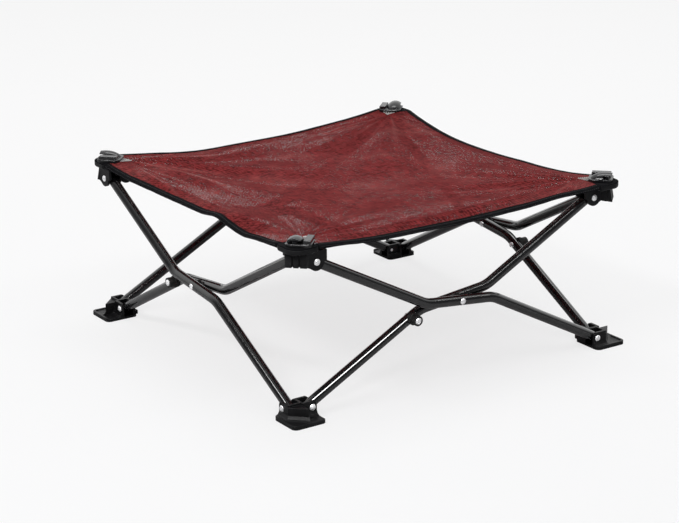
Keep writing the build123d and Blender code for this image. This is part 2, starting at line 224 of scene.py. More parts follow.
def pull_folds(x, y):
    """Folds that fan out from each corner: sines of the angle off the diagonal, rising and then dying away
    with the distance, and slow waves that vanish on the diagonals."""
    height = np.zeros_like(x)
    for quarter, distance, angle in from_corners(x, y):
        growth = distance / FOLD_REACH * np.exp(1 - distance / FOLD_REACH)
        creases = (0.5 + 0.5 * np.cos(crease_wave(quarter, distance, angle))) ** 2 - CREASE_MEAN
        creases *= np.clip(np.abs(angle) / CALM_ANGLE, 0, 1) * np.exp(-distance / CREASE_FADE)
        fan = np.sin(FOLD_RATE * angle) + CREASE_SHARE * creases
        ahead = np.clip(1.25 - np.abs(angle) / 1.1, 0, 1)
        height += FOLD_HEIGHTS[quarter] * growth * fan * ahead
    share = (x**2 - y**2) / EDGE**2
    height += SLOW_WAVE * share * np.sin(15 * x + 0.6) * np.cos(11 * y - 0.4)
    height += QUICK_WAVE * share * np.sin(31 * x + 19 * y)
    return height


def crease_crest_highlight(x, y):
    """Painted highlight along the crests of the creases, from 0 to 1: narrow crests of the same fans, each
    ray with its own strength, from just off the clip to where a bell curve of the distance dies away."""
    wear_and_crease_highlight = np.zeros_like(x)
    for quarter, distance, angle in from_corners(x, y):
        crest = (0.5 + 0.5 * np.cos(crease_wave(quarter, distance, angle))) ** 12
        uneven = 0.45 + 0.3 * np.sin(13 * angle + 2.3 * quarter)
        uneven += 0.25 * np.sin(23.7 * angle + 35 * distance)
        start = np.clip((distance - 0.012) / 0.02, 0, 1)
        fade = start * np.exp(-((distance / CREASE_HIGHLIGHT_REACHES[quarter]) ** 2))
        wear_and_crease_highlight = np.maximum(wear_and_crease_highlight, CREASE_HIGHLIGHT_STRENGTHS[quarter] * crest * uneven * fade)
    return np.clip(wear_and_crease_highlight, 0, 1)


def sheet_height(side, x, y):
    """The sheet over one side's quarter of the plan, with x along that side and y out of it, both as seen
    with the side at the front. Inside the line between the patches it is the tent with its folds;
    outside, a cubic runs on from there to the sagging hem."""
    along = np.clip(x / EDGE, -1, 1)
    out = -y
    step = 1e-4
    line = np.full_like(x, -EDGE)
    hinge = side_tent(side, x, line)
    slope = (hinge - side_tent(side, x, line + step)) / step
    width = hem_distance(along) - EDGE
    t = np.clip((out - EDGE) / width, 0, 1.2)
    margin = (2 * t**3 - 3 * t**2 + 1) * hinge + (t**3 - 2 * t**2 + t) * slope * width
    margin = margin - (3 * t**2 - 2 * t**3) * hem_sag(side, along)
    quarter = SIDES.index(side)
    plan = turned(np.stack([x, y, np.zeros_like(x)], axis=-1), quarter)
    folds = pull_folds(plan[..., 0], plan[..., 1]) * (1 - 0.55 * np.clip(t, 0, 1))
    return TOP_Z - SHEET_THICKNESS / 2 + np.where(out > EDGE, margin, side_tent(side, x, y)) + folds


def sheet_points(side, x, y):
    """Points and upward normals of the sheet, turned to their side. Normals come from small steps."""
    step = 2e-4
    z = sheet_height(side, x, y)
    slope_x = (sheet_height(side, x + step, y) - sheet_height(side, x - step, y)) / (2 * step)
    slope_y = (sheet_height(side, x, y + step) - sheet_height(side, x, y - step)) / (2 * step)
    normals = np.stack([-slope_x, -slope_y, np.ones_like(z)], axis=-1)
    normals /= np.linalg.norm(normals, axis=-1, keepdims=True)
    quarter = SIDES.index(side)
    return turned(np.stack([x, y, z], axis=-1), quarter), turned(normals, quarter)


def sheet_shell(name, side, x, y, material):
    """Two faces of cloth, half a thickness above and below the sheet's surface, joined round the rim."""
    points, normals = sheet_points(side, x, y)
    rows, columns = x.shape
    faces = grid_faces(rows, columns)
    shift = normals * SHEET_THICKNESS / 2
    both = np.concatenate([(points + shift).reshape(-1, 3), (points - shift).reshape(-1, 3)])
    uv = np.tile(points[..., :2].reshape(-1, 2), (2, 1))
    up = normals.reshape(-1, 3)
    index = np.arange(rows * columns).reshape(rows, columns)
    rim = np.concatenate([index[0, :-1], index[:-1, -1], index[-1, :0:-1], index[:0:-1, 0]])
    after = np.roll(rim, -1)
    edge = np.stack([after, rim, rim + rows * columns, after + rows * columns], axis=-1)
    all_faces = np.concatenate([faces, faces[:, ::-1] + rows * columns, edge])
    # Where rows run outwards, the faces come out upside down
    if np.cross(points[0, 1] - points[0, 0], points[1, 0] - points[0, 0])[2] < 0:
        all_faces = all_faces[:, ::-1]
    piece = make_piece(name, both, all_faces.tolist(), material, uv, np.concatenate([up, -up]))
    # Painted highlight along the crease crests, kept on the points for the cloth's colour and relief
    wear_and_crease_highlight = piece.data.attributes.new("wear_and_crease_highlight", "FLOAT", "POINT")
    pale = crease_crest_highlight(points[..., 0], points[..., 1]).ravel()
    wear_and_crease_highlight.data.foreach_set("value", np.tile(pale, 2))
    return piece


def sheet_area(piece):
    """Area of one face of a shell: half of the whole."""
    areas = np.zeros(len(piece.data.polygons), np.float32)
    piece.data.polygons.foreach_get("area", areas)
    return float(areas.sum(dtype=float)) / 2


# Materials

def new_group(name, inputs, outputs):
    """An empty shader node group with inputs (name, kind, value) and outputs (name, kind)."""
    group = bpy.data.node_groups.new(name, "ShaderNodeTree")
    for label, kind, value in inputs:
        socket = group.interface.new_socket(label, in_out="INPUT", socket_type=kind)
        if value is not None:
            socket.default_value = value
    for label, kind in outputs:
        group.interface.new_socket(label, in_out="OUTPUT", socket_type=kind)
    return group, group.nodes.new("NodeGroupInput"), group.nodes.new("NodeGroupOutput")


class Net:
    """Short names for adding and linking the nodes of one tree."""

    def __init__(self, tree):
        self.tree = tree

    def add(self, kind, **settings):
        node = self.tree.nodes.new(kind)
        for key, value in settings.items():
            setattr(node, key, value)
        return node

    def link(self, source, target):
        self.tree.links.new(source, target)

    def put(self, socket, value):
        """A value or another socket into an input."""
        if isinstance(value, (int, float, tuple, list)):
            socket.default_value = value
        else:
            self.link(value, socket)

    def math(self, operation, a, b=0.0, clamp=False):
        node = self.add("ShaderNodeMath", operation=operation, use_clamp=clamp)
        self.put(node.inputs[0], a)
        self.put(node.inputs[1], b)
        return node.outputs[0]

    def plus(self, total, value, share):
        """A total plus a share of a value."""
        return self.math("ADD", total, self.math("MULTIPLY", value, share))

    def wave(self, value, length):
        """A sine that repeats over a length."""
        return self.math("SINE", self.math("MULTIPLY", value, 2 * math.pi / length))

    def smooth(self, value, low, high, to_low=0.0, to_high=1.0):
        """A soft step from one value to another."""
        node = self.add("ShaderNodeMapRange", interpolation_type="SMOOTHSTEP")
        labels = ("Value", "From Min", "From Max", "To Min", "To Max")
        for label, item in zip(labels, (value, low, high, to_low, to_high)):
            self.put(node.inputs[label], item)
        return node.outputs["Result"]

    def noise(self, vector, scale, detail=3.0, roughness=0.5):
        node = self.add("ShaderNodeTexNoise")
        self.link(vector, node.inputs["Vector"])
        self.put(node.inputs["Scale"], scale)
        self.put(node.inputs["Detail"], detail)
        self.put(node.inputs["Roughness"], roughness)
        return node.outputs["Fac"]

    def mix(self, factor, a, b):
        node = self.add("ShaderNodeMix", data_type="RGBA")
        self.put(node.inputs["Factor"], factor)
        self.put(node.inputs["A"], a)
        self.put(node.inputs["B"], b)
        return node.outputs["Result"]

    def mix_shader(self, factor, a, b):
        node = self.add("ShaderNodeMixShader")
        self.put(node.inputs["Fac"], factor)
        self.link(a, node.inputs[1])
        self.link(b, node.inputs[2])
        return node.outputs[0]

    def surface(self):
        """The UV map of a piece made here."""
        return self.add("ShaderNodeUVMap", uv_map="surface").outputs[0]

    def split(self, vector):
        """X, Y and Z of a vector."""
        node = self.add("ShaderNodeSeparateXYZ")
        self.link(vector, node.inputs[0])
        return node.outputs["X"], node.outputs["Y"], node.outputs["Z"]

    def join(self, x, y):
        """A vector of X and Y."""
        node = self.add("ShaderNodeCombineXYZ")
        self.link(x, node.inputs["X"])
        self.link(y, node.inputs["Y"])
        return node.outputs[0]

    def bump(self, shader, height, strength, distance, normal=None):
        """Height as bump on a shader, over another normal if one is given."""
        node = self.add("ShaderNodeBump")
        self.put(node.inputs["Strength"], strength)
        self.put(node.inputs["Distance"], distance)
        self.link(height, node.inputs["Height"])
        if normal is not None:
            self.link(normal, node.inputs["Normal"])
        self.link(node.outputs[0], shader.inputs["Normal"])


def opaque(colour, share=1.0):
    """A colour, or a share of it, with full alpha."""
    return (*[channel * share for channel in colour], 1)


def grain_group():
    """Moulding grain and handling marks: fine noise as height, slow noise as a smudge mask."""
    group, inside, outside = new_group(
        "moulding_grain",
        [
            ("Vector", "NodeSocketVector", None), ("Grain size", "NodeSocketFloat", 2200.0),
            ("Smudge size", "NodeSocketFloat", 40.0),
        ],
        [("Height", "NodeSocketFloat"), ("Smudge", "NodeSocketFloat")],
    )
    net = Net(group)
    grain = net.noise(inside.outputs["Vector"], inside.outputs["Grain size"], 2.0)
    slow = net.noise(inside.outputs["Vector"], inside.outputs["Smudge size"], 5.0, 0.62)
    net.link(grain, outside.inputs["Height"])
    net.link(net.smooth(slow, 0.42, 0.72), outside.inputs["Smudge"])
    return group


def wear_group():
    """Rubbed edges: an edge mask broken up by noise."""
    group, inside, outside = new_group(
        "rubbed_edges",
        [
            ("Vector", "NodeSocketVector", None), ("Edge", "NodeSocketFloat", 0.0),
            ("Amount", "NodeSocketFloat", 0.5),
        ],
        [("Mask", "NodeSocketFloat")],
    )
    net = Net(group)
    patchy = net.smooth(net.noise(inside.outputs["Vector"], 260.0, 4.0, 0.6), 0.38, 0.68)
    mask = net.math("MULTIPLY", inside.outputs["Edge"], patchy)
    net.link(net.math("MULTIPLY", mask, inside.outputs["Amount"], clamp=True), outside.inputs["Mask"])
    return group


GRAIN = grain_group()
WEAR = wear_group()


def new_material(name):
    """A material with its Principled shader, its net and the object coordinates."""
    material = bpy.data.materials.new(name)
    material.use_nodes = True
    net = Net(material.node_tree)
    shader = material.node_tree.nodes["Principled BSDF"]
    place = net.add("ShaderNodeTexCoord").outputs["Object"]
    return material, net, shader, place


def hard_material(
    name, colour, worn, roughness, grain_size, grain_height, edge_round, wear, smudge_rough, **sockets
):
    """Plastic, paint, rubber or metal: grain as bump over rounded edges, smudges in the gloss, and worn
    edges."""
    material, net, shader, place = new_material(name)
    grain = net.add("ShaderNodeGroup", node_tree=GRAIN)
    net.link(place, grain.inputs["Vector"])
    net.put(grain.inputs["Grain size"], grain_size)
    rounded = net.add("ShaderNodeBevel", samples=6)
    net.put(rounded.inputs["Radius"], edge_round)
    net.bump(shader, grain.outputs["Height"], 1.0, grain_height, rounded.outputs[0])
    wide = net.add("ShaderNodeBevel", samples=6)
    net.put(wide.inputs["Radius"], edge_round * 1.6)
    flat = net.add("ShaderNodeNewGeometry")
    turn = net.add("ShaderNodeVectorMath", operation="DOT_PRODUCT")
    net.link(wide.outputs[0], turn.inputs[0])
    net.link(flat.outputs["Normal"], turn.inputs[1])
    wear_and_crease_highlight = net.add("ShaderNodeGroup", node_tree=WEAR)
    net.link(place, wear_and_crease_highlight.inputs["Vector"])
    net.link(net.smooth(turn.outputs["Value"], 0.985, 0.82), wear_and_crease_highlight.inputs["Edge"])
    net.put(wear_and_crease_highlight.inputs["Amount"], wear)
    smudged = (*[channel * 1.35 + 0.002 for channel in colour], 1)
    tone = net.mix(grain.outputs["Smudge"], opaque(colour), smudged)
    net.link(net.mix(wear_and_crease_highlight.outputs["Mask"], tone, opaque(worn)), shader.inputs["Base Color"])
    gloss = net.math("MULTIPLY_ADD", grain.outputs["Smudge"], smudge_rough)
    net.put(gloss.node.inputs[2], roughness)
    net.link(gloss, shader.inputs["Roughness"])
    for label, value in sockets.items():
        net.put(shader.inputs[label.replace("_", " ")], value)
    return material


MESH_PITCH = 0.0026                 # one cell of the mesh, with one eyelet
# Cloth colours: deep is painted shade between the yarns and round the eyelets and the darker slubs, main is
# the dyed yarn, pale is faded cloth and the painted highlight on the crease crests
CLOTH_DEEP = (0.045, 0.0035, 0.0040)
CLOTH_MAIN = (0.270, 0.030, 0.031)
CLOTH_FADED_AND_HIGHLIT = (0.48, 0.165, 0.155)
SLUB_STRETCH = 0.09                 # a slub's width beside its length


def mesh_material(name):
    """Maroon mesh cloth: staggered rows of uneven eyelets between plied yarns, with slubs, fading, painted
    shade between the yarns and round the eyelets, and a painted highlight along the crease crests. The UV map
    is the plan in metres; u and v count cells of the mesh."""
    material, net, shader, _ = new_material(name)
    uv = net.surface()
    plan_x, plan_y, _ = net.split(uv)
    u = net.math("DIVIDE", plan_x, MESH_PITCH)
    v = net.math("DIVIDE", plan_y, MESH_PITCH)

    # Eyelets: each cell's own radius, smaller away from the hems
    row = net.math("FLOOR", v)
    shifted = net.plus(u, net.math("PINGPONG", row, 1.0), 0.5)
    cell_u = net.math("SUBTRACT", net.math("FRACT", shifted), 0.5)
    cell_v = net.math("SUBTRACT", net.math("FRACT", v), 0.5)
    squares = net.math("ADD", net.math("POWER", cell_u, 2.0), net.math("POWER", cell_v, 2.0))
    far = net.math("SQRT", squares)
    chance = net.add("ShaderNodeTexWhiteNoise", noise_dimensions="2D")
    net.link(net.join(net.math("FLOOR", shifted), row), chance.inputs["Vector"])
    uneven = chance.outputs["Value"]
    reach = net.math("MAXIMUM", net.math("ABSOLUTE", plan_x), net.math("ABSOLUTE", plan_y))
    drawn = net.smooth(reach, 0.11, 0.23, 0.70, 1.0)
    radius = net.math("MULTIPLY", net.smooth(uneven, 0.15, 1.0, 0.11, 0.26), drawn)
    opening = net.math("SUBTRACT", far, radius)
    net.link(net.smooth(opening, -0.03, 0.03), shader.inputs["Alpha"])

    # Relief: rims of the eyelets, two leaning plies, and the creases
    lean = net.math("MULTIPLY", v, 0.55)
    plies = [net.wave(net.math(way, u, lean), 0.5) for way in ("ADD", "SUBTRACT")]
    yarns = net.math("MAXIMUM", *plies)
    height = net.plus(net.math("MULTIPLY", net.smooth(opening, 0.0, 0.32), 0.8), yarns, 0.2)
    # Painted highlight along the crease crests, here also raised as relief
    wear_and_crease_highlight = net.add("ShaderNodeAttribute", attribute_name="wear_and_crease_highlight").outputs["Fac"]
    net.bump(shader, net.plus(height, wear_and_crease_highlight, 1.5), 0.9, 0.0006)

    # Colour: painted shade between the yarns and round the eyelets, uneven along the slubs, pale where faded,
    # and a painted highlight along the crease crests
    fade = net.noise(uv, 9.0, 5.0, 0.6)
    slubs = []
    for stretch_u, stretch_v in ((1.0, SLUB_STRETCH), (SLUB_STRETCH, 1.0)):
        run = net.join(net.math("MULTIPLY", u, stretch_u), net.math("MULTIPLY", v, stretch_v))
        slubs.append(net.noise(run, 1.1, 2.0, 0.6))
    slub = net.math("MULTIPLY", net.math("ADD", *slubs), 0.5)
    thread = net.noise(uv, 900.0, 2.0)
    course = net.wave(net.plus(u, v, 0.5), 2.5)
    # The relief's height darkens the low places: painted shade between the yarns and round the eyelets
    lit = net.plus(net.math("MULTIPLY", height, 0.5), thread, 0.2)
    lit = net.plus(lit, course, 0.17)
    lit = net.plus(lit, net.math("SUBTRACT", slub, 0.5), 3.6)
    lit = net.plus(lit, net.math("SUBTRACT", uneven, 0.5), -0.35)
    tone = net.mix(net.smooth(lit, -0.1, 1.0), opaque(CLOTH_DEEP), opaque(CLOTH_MAIN))
    tone = net.mix(net.math("MULTIPLY", net.smooth(fade, 0.45, 0.75), 0.2), tone, opaque(CLOTH_FADED_AND_HIGHLIT))
    # Painted highlight along the crease crests, in the paler colour
    tone = net.mix(net.math("MULTIPLY", wear_and_crease_highlight, 0.6), tone, opaque(CLOTH_FADED_AND_HIGHLIT))
    net.link(tone, shader.inputs["Base Color"])
    net.link(net.smooth(thread, 0.2, 0.8, 0.65, 0.9), shader.inputs["Roughness"])
    net.put(shader.inputs["Specular IOR Level"], 0.06)
    return material


def tape_material(name, colour, pale):
    """Woven tape: ribs across its run and a fine chevron, from the UV map in metres (along, across)."""
    material, net, shader, _ = new_material(name)
    uv = net.surface()
    along, across, _ = net.split(uv)
    rib = net.wave(net.plus(along, net.math("PINGPONG", across, 0.0012), 0.8), 0.0011)
    cross = net.wave(across, 0.0008)
    lint = net.noise(uv, 700.0, 3.0)
    height = net.plus(net.math("MULTIPLY", rib, 0.6), cross, 0.25)
    height = net.plus(height, lint, 0.5)
    net.bump(shader, height, 0.8, 0.0003)
    worn = net.smooth(net.noise(uv, 24.0, 5.0, 0.65), 0.45, 0.8)
    # Darker where the weave is low: painted shade in the hollows between its ribs
    tone = net.mix(net.smooth(height, -0.6, 1.0), opaque(colour, 0.45), opaque(colour))
    tone = net.mix(net.math("MULTIPLY", worn, 0.5), tone, opaque(pale))
    net.link(tone, shader.inputs["Base Color"])
    net.link(net.smooth(lint, 0.2, 0.8, 0.6, 0.85), shader.inputs["Roughness"])
    net.put(shader.inputs["Specular IOR Level"], 0.02)
    return material


def thread_material(name, colour):
    """Sewing thread: two plies twisted round each other, from the UV map (turns along, turns round)."""
    material, net, shader, place = new_material(name)
    along, around, _ = net.split(net.surface())
    ply = net.wave(net.plus(net.math("MULTIPLY", along, 3.0), around, 2.0), 1.0)
    fuzz = net.noise(place, 3000.0, 2.0)
    net.bump(shader, ply, 0.7, 0.0001)
    # Darker in the grooves between the plies: painted shade
    tone = net.mix(net.smooth(ply, -1.0, 0.6), opaque(colour, 0.5), opaque(colour))
    net.link(tone, shader.inputs["Base Color"])
    net.link(net.smooth(fuzz, 0.2, 0.8, 0.45, 0.7), shader.inputs["Roughness"])
    return material


tube_paint = hard_material(
    "gloss_black_tube_paint", colour=(0.005, 0.005, 0.0055), worn=(0.05, 0.05, 0.052), roughness=0.11,
    grain_size=420.0, grain_height=0.000002, edge_round=0.0004, wear=0.3, smudge_rough=0.08,
    Specular_IOR_Level=0.5, Coat_Weight=0.8, Coat_Roughness=0.04,
)
rivet_zinc = hard_material(
    "bright_zinc_rivet", colour=(0.93, 0.93, 0.94), worn=(0.62, 0.62, 0.63), roughness=0.30,
    grain_size=900.0, grain_height=0.00005, edge_round=0.0003, wear=0.5, smudge_rough=0.16,
    Metallic=0.45,
)
hub_plastic = hard_material(
    "satin_black_moulding", colour=(0.005, 0.005, 0.0058), worn=(0.04, 0.04, 0.043), roughness=0.36,
    grain_size=1900.0, grain_height=0.00008, edge_round=0.0009, wear=0.5, smudge_rough=0.14,
    Specular_IOR_Level=0.2,
)
clip_plastic = hard_material(
    "polished_black_clip", colour=(0.008, 0.008, 0.009), worn=(0.05, 0.05, 0.052), roughness=0.16,
    grain_size=600.0, grain_height=0.00003, edge_round=0.0012, wear=0.4, smudge_rough=0.08,
    Specular_IOR_Level=0.4, Coat_Weight=0.2, Coat_Roughness=0.04,
)
washer_nylon = hard_material(
    "black_nylon_washer", colour=(0.018, 0.018, 0.019), worn=(0.06, 0.06, 0.06), roughness=0.42,
    grain_size=1500.0, grain_height=0.00005, edge_round=0.0003, wear=0.4, smudge_rough=0.12,
)
bumper_rubber = hard_material(
    "black_bumper_rubber", colour=(0.010, 0.010, 0.010), worn=(0.04, 0.04, 0.04), roughness=0.55,
    grain_size=1700.0, grain_height=0.0001, edge_round=0.0008, wear=0.6, smudge_rough=0.15,
    Specular_IOR_Level=0.35,
)
screw_steel = hard_material(
    "blackened_screw_steel", colour=(0.10, 0.10, 0.105), worn=(0.42, 0.42, 0.43), roughness=0.32,
    grain_size=1200.0, grain_height=0.00004, edge_round=0.0003, wear=0.8, smudge_rough=0.15,
    Metallic=1.0,
)
sling_mesh = mesh_material("maroon_sling_mesh")
hem_tape = tape_material("black_hem_tape", (0.010, 0.010, 0.0115), (0.026, 0.026, 0.028))
dark_thread = thread_material("black_sewing_thread", (0.025, 0.025, 0.027))
pale_thread = thread_material("pale_tack_thread", (0.62, 0.60, 0.58))

NODE_FINISHES = {
    "outer_tube": tube_paint, "inner_tube": tube_paint,
    "scissor_rivet": rivet_zinc, "bumper_rivet": rivet_zinc,
    "hub_rivets": rivet_zinc, "foot_rivets": rivet_zinc,
    "scissor_washer": washer_nylon, "stop_bumper": bumper_rubber,
    "top_hub": hub_plastic, "foot": hub_plastic,
    "corner_clip": clip_plastic, "clip_screw": screw_steel,
}
for kind, finish in NODE_FINISHES.items():
    for place in SIDES + CORNERS:
        node = nodes.get(f"{kind}_{place}")
        if node is not None:
            node.data.materials.clear()
            node.data.materials.append(finish)


# The sling: four panels, four margins, their binding and stitches

spread = np.linspace(-1, 1, PANEL_COLUMNS + 1)


def sling_panel(side):
    """A quarter of the sheet: rows at equal steps from the line between the patches to the middle, each as
    wide as it is far from the middle, down to a last row a hair from the centre."""
    far = EDGE * np.linspace(1, 0, PANEL_ROWS + 1)
    far[-1] = 1e-5
    x = spread[None, :] * far[:, None]
    y = np.repeat(-far[:, None], len(spread), axis=1)
    return sheet_shell(f"sling_cloth_{side}", side, x, y, sling_mesh)


def sling_margin(side):
    """The sheet outside the line between the patches: rows from that line out to the bowed hem."""
    out = np.linspace(0, 1, MARGIN_ROWS)
    x = np.repeat(spread[None, :] * EDGE, len(out), axis=0)
    width = hem_distance(x / EDGE) - EDGE
    y = -(EDGE + out[:, None] * width)
    return sheet_shell(f"sling_margin_{side}", side, x, y, sling_mesh)


def hem_path(side, x, out_shift=0.0, up_shift=0.0):
    """Points along the hem's line at places x, moved outwards and upwards, with the side at the front."""
    y = -hem_distance(np.clip(x / EDGE, -1, 1))
    z = sheet_height(side, x, y)
    return np.stack([x, y - out_shift, z + up_shift], axis=-1)


def tape_flat(side, x):
    """The tape's flat part, folded round the sheet: rows at steps in from the hem's line, above the sheet's
    middle on the way out and below it on the way back."""
    inward = np.linspace(TAPE_WIDTH, -0.0005, 6)
    y = inward[None, :] - hem_distance(np.clip(x / EDGE, -1, 1))[:, None]
    points, normals = sheet_points(side, np.repeat(x[:, None], len(inward), axis=1), y)
    lift = normals * TAPE_HEIGHT
    ring = np.concatenate([points + lift, (points - lift)[:, ::-1]], axis=1)
    across = np.concatenate([inward, inward[::-1] + 2 * TAPE_WIDTH])
    return ring, np.stack(np.broadcast_arrays(x[:, None], across[None, :]), axis=-1)


def hem_binding(side):
    """Folded tape: a squared oval, powers of cosine and sine, carried along the hem's line, a little uneven
    and growing downwards at its ends; with it, the tape's flat part on the sheet."""
    x = np.linspace(-1, 1, 201) * (EDGE + HEM_OVERRUN)
    line = hem_path(side, x, 0.0, HEM_TOP - HEM_TALL)
    around = np.linspace(0, 2 * math.pi, 28, endpoint=False)
    cosine, sine = np.cos(around), np.sin(around)
    power = 0.55
    across = HEM_DEEP * np.sign(cosine) * np.abs(cosine) ** power
    upward = HEM_TALL * np.sign(sine) * np.abs(sine) ** power
    pinch = 1 + 0.04 * np.sin(x * 190) * np.sin(x * 47 + 1.0)
    thick = 1 + HEM_END_SWELL * np.clip(1 - (EDGE - np.abs(x)) / HEM_END_RUN, 0, 1) ** 2
    points = np.repeat(line[:, None, :], len(around), axis=1)
    points[..., 1] += across[None, :] * pinch[:, None]
    points[..., 2] += (upward[None, :] - HEM_TALL) * thick[:, None] / pinch[:, None] + HEM_TALL
    girth = np.linspace(0, HEM_GIRTH, len(around))
    uv = np.stack(np.broadcast_arrays(x[:, None], girth[None, :]), axis=-1)
    flat, flat_uv = tape_flat(side, x)
    faces = tube_faces(len(x), len(around))
    faces += tube_faces(len(x), flat.shape[1], start=len(x) * len(around))
    points = np.concatenate([turned(points, SIDES.index(side)).reshape(-1, 3), flat.reshape(-1, 3)])
    uv = np.concatenate([uv.reshape(-1, 2), flat_uv.reshape(-1, 2)])
    return make_piece(f"hem_tape_{side}", points, faces, hem_tape, uv)


def stitch_row(name, starts, ends, lifts, radius, material):
    """Short threads from start to end, each bowed along its lift: six-sided, five rings, drawn in at both
    ends."""
    along = np.array([0.0, 0.14, 0.5, 0.86, 1.0])
    girth = np.array([0.25, 0.9, 1.0, 0.9, 0.25]) * radius
    bow = np.array([-0.6, 0.25, 0.75, 0.25, -0.6]) * radius
    sides = 6
    run = ends - starts
    tangent = run / np.linalg.norm(run, axis=1, keepdims=True)
    normal = lifts - (lifts * tangent).sum(1, keepdims=True) * tangent
    normal /= np.linalg.norm(normal, axis=1, keepdims=True)
    beside = np.cross(tangent, normal)
    around = np.arange(sides)[None, :, None] * 2 * math.pi / sides
    centre = starts[:, None, :] + along[None, :, None] * run[:, None, :]
    centre = centre + bow[None, :, None] * normal[:, None, :]
    ring = np.cos(around) * normal[:, None, :] + np.sin(around) * beside[:, None, :]
    points = centre[:, :, None, :] + girth[None, :, None, None] * ring[:, None, :, :]
    size = len(along) * sides
    first = np.arange(len(starts))[:, None, None] * size
    index = np.arange(size).reshape(len(along), sides)
    quads = (grid_faces(len(along), sides, ring=True)[None] + first).reshape(-1, 4)
    caps = (np.stack([index[0, ::-1], index[-1]])[None] + first).reshape(-1, sides)
    u, v = np.meshgrid(along, np.arange(sides) / sides, indexing="ij")
    uv = np.tile(np.stack([u, v], axis=-1).reshape(-1, 2), (len(starts), 1))
    return make_piece(name, points, quads.tolist() + caps.tolist(), material, uv)


def hem_stitches(side):
    """Lockstitch down the middle of the binding's outer face and along its top."""
    count = int(2 * (EDGE - STITCH_END) / STITCH_PITCH)
    x = (np.arange(count) - (count - 1) / 2) * STITCH_PITCH
    starts, ends, lifts = [], [], []
    rows = ((HEM_DEEP, -0.0016, (0, -1, 0)), (-0.0012, 0.00105, (0, 0, 1)))
    for out_shift, up_shift, lift in rows:
        starts.append(hem_path(side, x - STITCH_HALF, out_shift, up_shift))
        ends.append(hem_path(side, x + STITCH_HALF, out_shift, up_shift))
        lifts.append(np.repeat(np.array([lift], float), count, axis=0))
    quarter = SIDES.index(side)
    starts, ends, lifts = (turned(np.concatenate(item), quarter) for item in (starts, ends, lifts))
    return stitch_row(f"hem_stitches_{side}", starts, ends, lifts, STITCH_RADIUS, dark_thread)


def rounded_outline(corner_r, other_r, count):
    """Outline of the corner patch in plan: straight sides and four arcs, the outermost with a radius of its
    own."""
    corners = [
        (-PATCH_IN, -PATCH_IN, other_r, 0.0), (-PATCH_OUT, -PATCH_IN, other_r, 0.5),
        (-PATCH_OUT, -PATCH_OUT, corner_r, 1.0), (-PATCH_IN, -PATCH_OUT, other_r, 1.5),
    ]
    parts = []
    for x, y, radius, start in corners:
        angle = (start + np.linspace(0, 0.5, count)) * math.pi
        centre_x = x + radius * (1 if x == -PATCH_OUT else -1)
        centre_y = y + radius * (1 if y == -PATCH_OUT else -1)
        arc = [centre_x + radius * np.cos(angle), centre_y + radius * np.sin(angle)]
        parts.append(np.stack(arc, axis=-1))
    return np.concatenate(parts)


def corner_patch(corner):
    """Doubled corner of the cloth: rings of its rounded outline, each drawn towards its middle by a share,
    flat above and below, with a half-round edge between."""
    outline = rounded_outline(PATCH_OUTER_R, PATCH_INNER_R, 12)
    middle = outline.mean(axis=0)
    thick = (TOP_Z - PATCH_LOW_Z) / 2
    turn = np.linspace(math.pi / 2, -math.pi / 2, 9)
    flat = np.array([0.995, 0.5, 0.2])
    half_width = 0.025
    inset = np.concatenate([flat, thick * (1 - np.cos(turn)) / half_width, flat[::-1]])
    level = np.concatenate([0 * flat, thick * (np.sin(turn) - 1), 0 * flat - 2 * thick])
    rings = middle + (outline - middle)[None] * (1 - inset)[:, None, None]
    height = np.broadcast_to((TOP_Z + level)[:, None, None], rings.shape[:2] + (1,))
    points = np.concatenate([rings, height], axis=-1)
    faces = tube_faces(*points.shape[:2])
    uv = points[..., :2]
    return make_piece(f"patch_cloth_{corner}", turned(points, CORNERS.index(corner)), faces, hem_tape, uv)


def corner_tack(corner):
    """Pale tack at the clip's inner end: five lines of stitches that meet in a point."""
    lines, steps = 5, 6
    ahead = np.linspace(0.0205, 0.0380, steps + 1)
    half = np.linspace(0.0098, 0.0, steps + 1)
    aside = 0.0034 + np.linspace(-1, 1, lines)[:, None] * half[None, :]
    centre = -(PATCH_OUT - CLIP_INSET)
    x = centre + (ahead[None, :] + aside) / math.sqrt(2)
    y = centre + (ahead[None, :] - aside) / math.sqrt(2)
    points = np.stack([x, y, np.full_like(x, TOP_Z + 0.0004)], axis=-1)
    gap = 0.06 * (points[:, 1:] - points[:, :-1])
    starts, ends = (points[:, :-1] + gap).reshape(-1, 3), (points[:, 1:] - gap).reshape(-1, 3)
    lifts = np.repeat([[0.0, 0.0, 1.0]], len(starts), axis=0)
    quarter = CORNERS.index(corner)
    starts, ends, lifts = (turned(item, quarter) for item in (starts, ends, lifts))
    return stitch_row(f"corner_tack_{corner}", starts, ends, lifts, TACK_RADIUS, pale_thread)


for quarter, side in enumerate(SIDES):
    panel = sling_panel(side)
    margin = sling_margin(side)
    binding = hem_binding(side)
    stitches = hem_stitches(side)
    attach(panel, f"sling_{side}")
    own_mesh(panel)
    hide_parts(f"sling_panel_{side}")
    sheet_area(panel)
    for piece in (margin, binding, stitches):
        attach(piece, f"hem_{side}")
        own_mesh(piece)
        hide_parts(f"sling_edge_{side}")
    sheet_area(margin)

for corner in CORNERS:
    patch = corner_patch(corner)
    tack = corner_tack(corner)
    for piece in (patch, tack):
        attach(piece, f"hub_{corner}")
    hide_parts(f"corner_patch_{corner}")


# Floor, light and camera

FLOOR_REACH = 14.0
FLOOR_DROP = 0.0002
AWAY = (0.53, 0.79, 0.30)           # over the cot to the back of the room
WHITE = (1.0, 1.0, 1.0, 1)


